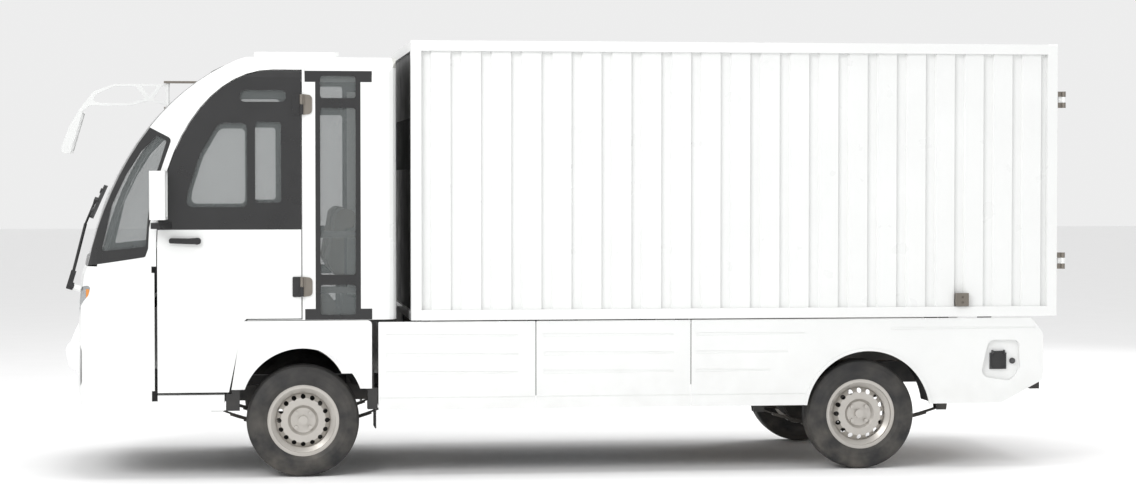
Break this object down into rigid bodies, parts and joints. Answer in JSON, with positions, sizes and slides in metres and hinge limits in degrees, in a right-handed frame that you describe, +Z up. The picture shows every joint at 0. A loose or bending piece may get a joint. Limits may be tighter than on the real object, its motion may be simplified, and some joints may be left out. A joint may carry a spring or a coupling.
{
  "type": "mail delivery truck",
  "caption": "Light electric delivery truck with a rounded cab, rear-hinged cab doors, a ribbed cargo box and rear barn doors, on leaf-sprung axles.",
  "frame": {"origin": "on the ground under the middle of the truck", "axes": "-X to the front of the truck, -Y to the driver's side, +Z up"},
  "size_m": [5.1684, 1.9933, 2.171],
  "materials": {
    "white_paint": "glossy white enamel",
    "body_plastic": "glossy white moulding",
    "black_frame": "satin black",
    "black_plastic": "matt black, lightly grained",
    "grey_plastic": "matt dark grey",
    "glass": "clear automotive glass",
    "lamp_lens": "clear lens over a bright reflector",
    "amber_lens": "amber lens",
    "red_lens": "red lens",
    "chassis_paint": "satin black chassis paint",
    "floor_metal": "textured grey floor coating",
    "plywood": "phenolic faced plywood",
    "wall_grey": "dark grey enamel",
    "wall_light": "light grey enamel",
    "hinge_steel": "zinc-plated steel",
    "seat_vinyl": "olive-beige vinyl",
    "spring_steel": "dark spring steel",
    "cast_iron": "painted casting",
    "rim_silver": "silver lacquer",
    "tyre": "black tyre rubber",
    "battery_case": "dark blue-grey case"
  },
  "bodies": {
    "chassis": {"chassis_frame": "chassis_paint", "battery_pack": "battery_case", "cab_floor": "floor_metal", "cab_side_frames": "white_paint", "cab_roof": "white_paint", "cab_rear_wall": "wall_light", "front_fascia": "body_plastic", "front_grille": "grey_plastic", "windscreen_frame": "black_frame", "windscreen": "glass", "headlamps": "lamp_lens", "turn_signals": "amber_lens", "side_window_frames": "black_frame", "cab_side_glass": "glass", "front_fenders": "body_plastic", "wheel_arch_guards": "black_plastic", "side_skirts": "body_plastic", "charge_socket": "grey_plastic", "cargo_floor": "plywood", "cargo_frame": "white_paint", "cargo_side_panels": "white_paint", "cargo_front_wall": "wall_grey", "cargo_roof": "white_paint", "box_hardware": "hinge_steel", "tail_lamps": "red_lens", "seat_cushions": "seat_vinyl", "seat_backs": "seat_vinyl", "dashboard": "grey_plastic", "steering_column": "black_plastic", "leaf_springs": "spring_steel"},
    "front_axle": {"front_axle": "cast_iron"},
    "rear_axle": {"rear_axle": "cast_iron"},
    "knuckle_left": {"knuckle_left": "cast_iron"},
    "knuckle_right": {"knuckle_right": "cast_iron"},
    "wheel_front_left": {"rim_front_left": "rim_silver", "tyre_front_left": "tyre"},
    "wheel_front_right": {"rim_front_right": "rim_silver", "tyre_front_right": "tyre"},
    "wheel_rear_left": {"rim_rear_left": "rim_silver", "tyre_rear_left": "tyre"},
    "wheel_rear_right": {"rim_rear_right": "rim_silver", "tyre_rear_right": "tyre"},
    "steering_wheel": {"steering_wheel": "black_plastic"},
    "brake_pedal": {"brake_pedal": "black_plastic"},
    "accelerator_pedal": {"accelerator_pedal": "black_plastic"},
    "parking_brake_lever": {"parking_brake_lever": "black_plastic"},
    "cab_door_left": {"door_panel_left": "white_paint", "door_frame_left": "black_frame", "door_glass_left": "glass"},
    "cab_door_right": {"door_panel_right": "white_paint", "door_frame_right": "black_frame", "door_glass_right": "glass"},
    "door_handle_left": {"door_handle_left": "black_plastic"},
    "door_handle_right": {"door_handle_right": "black_plastic"},
    "side_mirror": {"side_mirror": "body_plastic"},
    "front_mirror": {"front_mirror": "body_plastic"},
    "wiper": {"wiper": "black_plastic"},
    "cargo_door_left": {"cargo_door_left": "white_paint"},
    "cargo_door_right": {"cargo_door_right": "white_paint"},
    "charge_flap": {"charge_flap": "black_plastic"}
  },
  "joints": [
    {"name": "front_suspension", "type": "slide", "parent": "chassis", "child": "front_axle", "axis": [0, 0, 1], "range_m": [-0.03, 0.03], "stiffness_N_per_m": 219000, "springref_m": -0.03493, "deforming": ["leaf_springs"]},
    {"name": "rear_suspension", "type": "slide", "parent": "chassis", "child": "rear_axle", "axis": [0, 0, 1], "range_m": [-0.03, 0.03], "stiffness_N_per_m": 146000, "springref_m": -0.03495, "deforming": ["leaf_springs"]},
    {"name": "steer_left", "type": "hinge", "parent": "front_axle", "child": "knuckle_left", "pos_m": [-1.313, -0.5925, 0.2805], "axis": [0, 0, 1], "range_deg": [-28, 28]},
    {"name": "steer_right", "type": "hinge", "parent": "front_axle", "child": "knuckle_right", "pos_m": [-1.313, 0.5925, 0.2805], "axis": [0, 0, 1], "range_deg": [-28, 28]},
    {"name": "wheel_spin_front_left", "type": "hinge", "parent": "knuckle_left", "child": "wheel_front_left", "pos_m": [-1.313, -0.6925, 0.2805], "axis": [0, 1, 0], "continuous": true},
    {"name": "wheel_spin_front_right", "type": "hinge", "parent": "knuckle_right", "child": "wheel_front_right", "pos_m": [-1.313, 0.6925, 0.2805], "axis": [0, 1, 0], "continuous": true},
    {"name": "wheel_spin_rear_left", "type": "hinge", "parent": "rear_axle", "child": "wheel_rear_left", "pos_m": [1.522, -0.6925, 0.2805], "axis": [0, 1, 0], "continuous": true},
    {"name": "wheel_spin_rear_right", "type": "hinge", "parent": "rear_axle", "child": "wheel_rear_right", "pos_m": [1.522, 0.6925, 0.2805], "axis": [0, 1, 0], "continuous": true},
    {"name": "steering_wheel_turn", "type": "hinge", "parent": "chassis", "child": "steering_wheel", "pos_m": [-1.833, -0.37, 1.13], "axis": [0.6157, 0, 0.788], "range_deg": [-504, 504]},
    {"name": "brake_pedal_press", "type": "hinge", "parent": "chassis", "child": "brake_pedal", "pos_m": [-2.273, -0.29, 0.8], "axis": [0, 1, 0], "range_deg": [0, 18], "stiffness_Nm_per_rad": 12, "springref_deg": -11.46},
    {"name": "accelerator_press", "type": "hinge", "parent": "chassis", "child": "accelerator_pedal", "pos_m": [-2.273, -0.195, 0.8], "axis": [0, 1, 0], "range_deg": [0, 18], "stiffness_Nm_per_rad": 8, "springref_deg": -11.46},
    {"name": "parking_brake_pull", "type": "hinge", "parent": "chassis", "child": "parking_brake_lever", "pos_m": [-1.413, 0, 0.83], "axis": [0, 1, 0], "range_deg": [0, 40]},
    {"name": "cab_door_left_swing", "type": "hinge", "parent": "chassis", "child": "cab_door_left", "pos_m": [-1.319, -0.799, 0.95], "axis": [0, 0, 1], "range_deg": [0, 78]},
    {"name": "cab_door_right_swing", "type": "hinge", "parent": "chassis", "child": "cab_door_right", "pos_m": [-1.319, 0.799, 0.95], "axis": [0, 0, -1], "range_deg": [0, 78]},
    {"name": "door_handle_left_turn", "type": "hinge", "parent": "cab_door_left", "child": "door_handle_left", "pos_m": [-1.833, -0.785, 1.176], "axis": [0, 1, 0], "range_deg": [0, 40], "stiffness_Nm_per_rad": 2, "springref_deg": -11.46},
    {"name": "door_handle_right_turn", "type": "hinge", "parent": "cab_door_right", "child": "door_handle_right", "pos_m": [-1.833, 0.785, 1.176], "axis": [0, 1, 0], "range_deg": [0, 40], "stiffness_Nm_per_rad": 2, "springref_deg": -11.46},
    {"name": "side_mirror_fold", "type": "hinge", "parent": "cab_door_left", "child": "side_mirror", "pos_m": [-2.033, -0.847, 1.256], "axis": [0, 0, 1], "range_deg": [-60, 24]},
    {"name": "front_mirror_swing", "type": "hinge", "parent": "chassis", "child": "front_mirror", "pos_m": [-2.007, 0.745, 1.94], "axis": [0, 0, 1], "range_deg": [-25, 35]},
    {"name": "wiper_sweep", "type": "hinge", "parent": "chassis", "child": "wiper", "pos_m": [-2.476, -0.06, 0.925], "axis": [-0.9563, 0, 0.2924], "range_deg": [-38, 38]},
    {"name": "cargo_door_left_swing", "type": "hinge", "parent": "chassis", "child": "cargo_door_left", "pos_m": [2.575, -0.803, 1.475], "axis": [0, 0, -1], "range_deg": [0, 270]},
    {"name": "cargo_door_right_swing", "type": "hinge", "parent": "chassis", "child": "cargo_door_right", "pos_m": [2.575, 0.803, 1.475], "axis": [0, 0, 1], "range_deg": [0, 270]},
    {"name": "charge_flap_lift", "type": "hinge", "parent": "chassis", "child": "charge_flap", "pos_m": [2.242, -0.782, 0.595], "axis": [-1, 0, 0], "range_deg": [0, 105]}
  ],
  "couplings": [
    {"joint": "steer_right", "follows": "steer_left", "ratio": 1},
    {"joint": "steering_wheel_turn", "follows": "steer_left", "ratio": 18}
  ]
}
